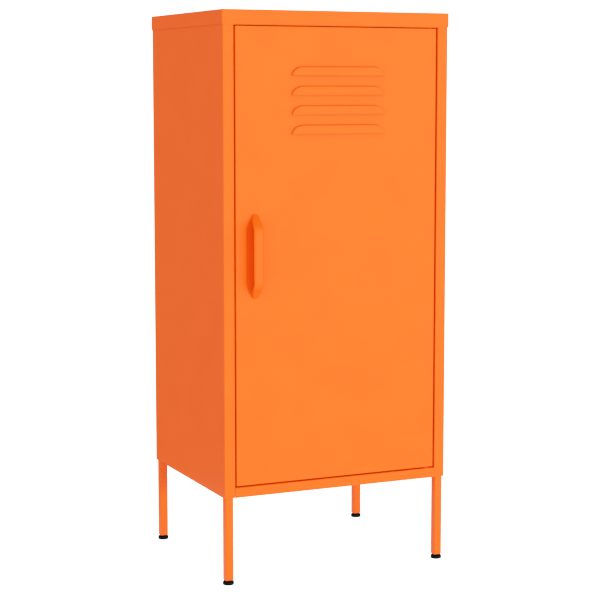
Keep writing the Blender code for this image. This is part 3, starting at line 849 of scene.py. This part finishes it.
def screw_mesh(name, head, height, shank, length, points, depth):
    """A domed head with its driver recess on a plain shank; the head stands on z = 0."""
    ball = (head ** 2 + height ** 2) / (2 * height)
    profile = []
    for step in range(HEAD_STEPS):
        radius = head * step / HEAD_STEPS
        profile.append((radius, height - ball + math.sqrt(ball ** 2 - radius ** 2)))
    profile += [(head, HEAD_RIM), (head - HEAD_RIM, 0.0), (shank, 0.0), (shank, SHANK_CHAMFER - length)]
    profile += [(shank * SHANK_TIP, -length), (0, -length)]
    screw = revolve(name, profile, segments=48)
    return carved(name, screw, driver_recess(points, height, depth), DRIVER_EDGE)


def make_screws():
    """Cross-recessed screws in the back and in the pull, socket bolts through the floor.

    Each kind has its body, turn, the axis its shank runs along, head height, shank radius, and driver recess.
    """
    upright = Matrix.Identity(4)
    backwards = Matrix.Rotation(math.radians(-90), 4, "X")
    kinds = (
        ("back_screw", "cabinet", backwards, 1, 0.0009, 0.0020, cross_points(0.0021, 0.00035), 0.0008),
        ("handle_screw", "door", backwards, 1, 0.0022, 0.0016, cross_points(0.0019, 0.00035), 0.0014),
        ("leg_bolt", "cabinet", upright, 2, 0.0032, 0.0030, hexagon_points(0.0023), 0.0020),
    )
    for kind, body, turn, along, height, shank, points, depth in kinds:
        for node in sorted(name for name in NODES if name.startswith(kind)):
            low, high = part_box(node)
            seat = (low + high) / 2
            seat[along] = high[along] - height
            length = seat[along] - low[along]
            head = (high.x - low.x) / 2
            mesh = screw_mesh(node + "_mesh", head, height, shank, length, points, depth)
            mesh.transform(Matrix.Translation(seat) @ turn)
            add_piece(node.replace(kind, kind + "_driven"), mesh, body, "zinc_steel", [node])


make_screws()


# ---------------------------------------------------------------- CAD nodes that are carried over
SLOTS = {part["node"]: part["material_slot"] for part in frame["record"]["subparts"]}

# How wide the nodes' edges are rounded: the usual width, and where another suits
SOFT_EDGE = 0.00025
SOFT_EDGES = {
    "back_panel": 0.0002,
    "top_rail": 0.0005,
    "door_stiffener": 0.0003,
    "strike_plate": 0.0003,
    "catch_housing": 0.0010,
    "catch_magnet": 0.0004,
}
for node, obj in NODES.items():
    if not obj.hide_render:
        soften(node, SOFT_EDGES.get(node, SOFT_EDGE), SLOTS[node])


# ---------------------------------------------------------------- floor, light and camera
# The floor's white as the camera sees it, its glow near the feet, and where that glow fades out, in metres
FLOOR_WHITE = 2.0
FLOOR_NEAR = 0.9
FLOOR_FADE = (0.30, 0.75)
FLOOR_RADIUS = 12.0
FLOOR_DROP = 0.0002


def blend(tree, factor, first, second):
    mix = tree.nodes.new("ShaderNodeMixShader")
    tree.links.new(factor, mix.inputs["Fac"])
    tree.links.new(first, mix.inputs[1])
    tree.links.new(second, mix.inputs[2])
    return mix.outputs["Shader"]


def emission(tree, strength):
    glow = tree.nodes.new("ShaderNodeEmission")
    glow.inputs["Strength"].default_value = strength
    return glow.outputs["Emission"]


def make_stage():
    """A pale floor that runs into the white surroundings and can be looked through from below.

    It lights the locker only as a dim patch round the feet, which keeps the legs from glowing.
    """
    shape = bmesh.new()
    bmesh.ops.create_circle(shape, cap_ends=True, segments=96, radius=FLOOR_RADIUS)
    mesh = bpy.data.meshes.new("studio_floor")
    shape.to_mesh(mesh)
    shape.free()
    floor = bpy.data.objects.new("studio_floor", mesh)
    floor.location.z = -FLOOR_DROP
    bpy.context.scene.collection.objects.link(floor)
    mat = bpy.data.materials.new("studio_floor")
    mat.use_nodes = True
    tree = mat.node_tree
    tree.nodes.clear()
    out = tree.nodes.new("ShaderNodeOutputMaterial")
    path = tree.nodes.new("ShaderNodeLightPath")
    geometry = tree.nodes.new("ShaderNodeNewGeometry")
    clear = tree.nodes.new("ShaderNodeBsdfTransparent").outputs["BSDF"]
    place = tree.nodes.new("ShaderNodeTexCoord")
    length = tree.nodes.new("ShaderNodeVectorMath")
    length.operation = "LENGTH"
    tree.links.new(place.outputs["Object"], length.inputs[0])
    fade = map_range(tree, length.outputs["Value"], *FLOOR_FADE, 0.0, 1.0)
    lighting = blend(tree, fade, emission(tree, FLOOR_NEAR), clear)
    seen = blend(tree, path.outputs["Is Camera Ray"], lighting, emission(tree, FLOOR_WHITE))
    both = blend(tree, geometry.outputs["Backfacing"], seen, clear)
    tree.links.new(both, out.inputs["Surface"])
    mesh.materials.append(mat)
    floor.visible_shadow = False


# The surroundings: an even band of light round the horizon with its share at the poles, and what satin paint
# mirrors of them, which is brightest towards one side
FILL = 1.37
POLE_LIGHT = 0.15
MIRRORED_SIDE = (0.43, -0.88, 0.20)
MIRRORED_NARROWNESS = 14.0
MIRRORED_DIM, MIRRORED_BRIGHT = 0.12, 2.50

# The lamp in front, a square softbox
KEY_PLACE = (0.55, -4.2, 0.8)
KEY_TARGET = (0, 0, 0.55)
KEY_SIZE = 0.5
KEY_POWER = 94.0


def math_node(tree, operation, first, second):
    """A Math node; its second input is a number or a socket."""
    node = tree.nodes.new("ShaderNodeMath")
    node.operation = operation
    tree.links.new(first, node.inputs[0])
    if isinstance(second, (int, float)):
        node.inputs[1].default_value = second
    else:
        tree.links.new(second, node.inputs[1])
    return node.outputs["Value"]


def choose(tree, switch, no, yes):
    """One of two strengths; each is a number or a socket."""
    node = tree.nodes.new("ShaderNodeMix")
    tree.links.new(switch, node.inputs["Factor"])
    for name, value in (("A", no), ("B", yes)):
        if isinstance(value, (int, float)):
            node.inputs[name].default_value = value
        else:
            tree.links.new(value, node.inputs[name])
    return node.outputs["Result"]


def make_world():
    """White to the camera; even light from round the horizon, mirrored brightest at the front right."""
    world = bpy.data.worlds.new("studio")
    bpy.context.scene.world = world
    world.use_nodes = True
    tree = world.node_tree
    background = tree.nodes["Background"]
    background.inputs["Color"].default_value = (1, 1, 1, 1)
    path = tree.nodes.new("ShaderNodeLightPath")
    place = tree.nodes.new("ShaderNodeTexCoord").outputs["Generated"]
    towards = tree.nodes.new("ShaderNodeVectorMath")
    towards.operation = "DOT_PRODUCT"
    towards.inputs[1].default_value = MIRRORED_SIDE
    tree.links.new(place, towards.inputs[0])
    lobe = map_range(tree, towards.outputs["Value"], -1.0, 1.0, 0.0, 1.0)
    lobe = math_node(tree, "POWER", lobe, MIRRORED_NARROWNESS)
    mirrored = map_range(tree, lobe, 0.0, 1.0, MIRRORED_DIM, MIRRORED_BRIGHT)
    axes = tree.nodes.new("ShaderNodeSeparateXYZ")
    tree.links.new(place, axes.inputs["Vector"])
    height = math_node(tree, "MULTIPLY", axes.outputs["Z"], axes.outputs["Z"])
    band = map_range(tree, height, 0.0, 1.0, 1.0, POLE_LIGHT)
    level = choose(tree, path.outputs["Is Glossy Ray"], FILL, mirrored)
    lit = math_node(tree, "MULTIPLY", level, band)
    strength = choose(tree, path.outputs["Is Camera Ray"], lit, FLOOR_WHITE)
    tree.links.new(strength, background.inputs["Strength"])


def make_key():
    """The lamp lights the locker, and isn't seen or mirrored."""
    data = bpy.data.lights.new("key", "AREA")
    data.shape = "RECTANGLE"
    data.size = KEY_SIZE
    data.size_y = KEY_SIZE
    data.energy = KEY_POWER
    lamp = bpy.data.objects.new("key", data)
    bpy.context.scene.collection.objects.link(lamp)
    lamp.visible_camera = False
    lamp.visible_glossy = False
    lamp.location = KEY_PLACE
    direction = Vector(KEY_TARGET) - Vector(KEY_PLACE)
    lamp.rotation_euler = direction.to_track_quat("-Z", "Y").to_euler()


# The camera: its lens in millimetres, vertical shift, place, and degrees it looks down and to the right
LENS = 102.5
SHIFT = -0.05
CAMERA_PLACE = (-1.319, -2.9156, 0.8815)
CAMERA_DOWN = 6.11
CAMERA_RIGHT = 24.355


def make_camera():
    data = bpy.data.cameras.new("camera")
    data.sensor_width = 36.0
    data.lens = LENS
    data.shift_y = SHIFT
    data.clip_end = 50.0
    camera = bpy.data.objects.new("camera", data)
    bpy.context.scene.collection.objects.link(camera)
    camera.location = CAMERA_PLACE
    camera.rotation_euler = (math.radians(90 - CAMERA_DOWN), 0, math.radians(-CAMERA_RIGHT))
    bpy.context.scene.camera = camera


# The tone curve: straight up to its shoulder, which holds the bright front below white
SHOULDER = (
    (0.0, 0.0),
    (0.60, 0.605),
    (0.74, 0.74),
    (0.90, 0.82),
    (1.05, 0.88),
    (1.30, 0.96),
    (1.55, 1.0),
)


def set_tone():
    """Plain sRGB with the tone curve's soft shoulder."""
    view = bpy.context.scene.view_settings
    view.view_transform = "Standard"
    view.use_curve_mapping = True
    mapping = view.curve_mapping
    mapping.extend = "HORIZONTAL"
    white = SHOULDER[-1][0]
    mapping.white_level = (white, white, white)
    curve = mapping.curves[3]
    curve.points[0].location = SHOULDER[0]
    curve.points[1].location = (1.0, 1.0)
    for level, shown in SHOULDER[1:-1]:
        curve.points.new(level / white, shown)
    for point in curve.points:
        point.handle_type = "AUTO_CLAMPED"
    curve.points[0].handle_type = "VECTOR"
    mapping.update()


make_stage()
make_world()
make_key()
make_camera()
set_tone()
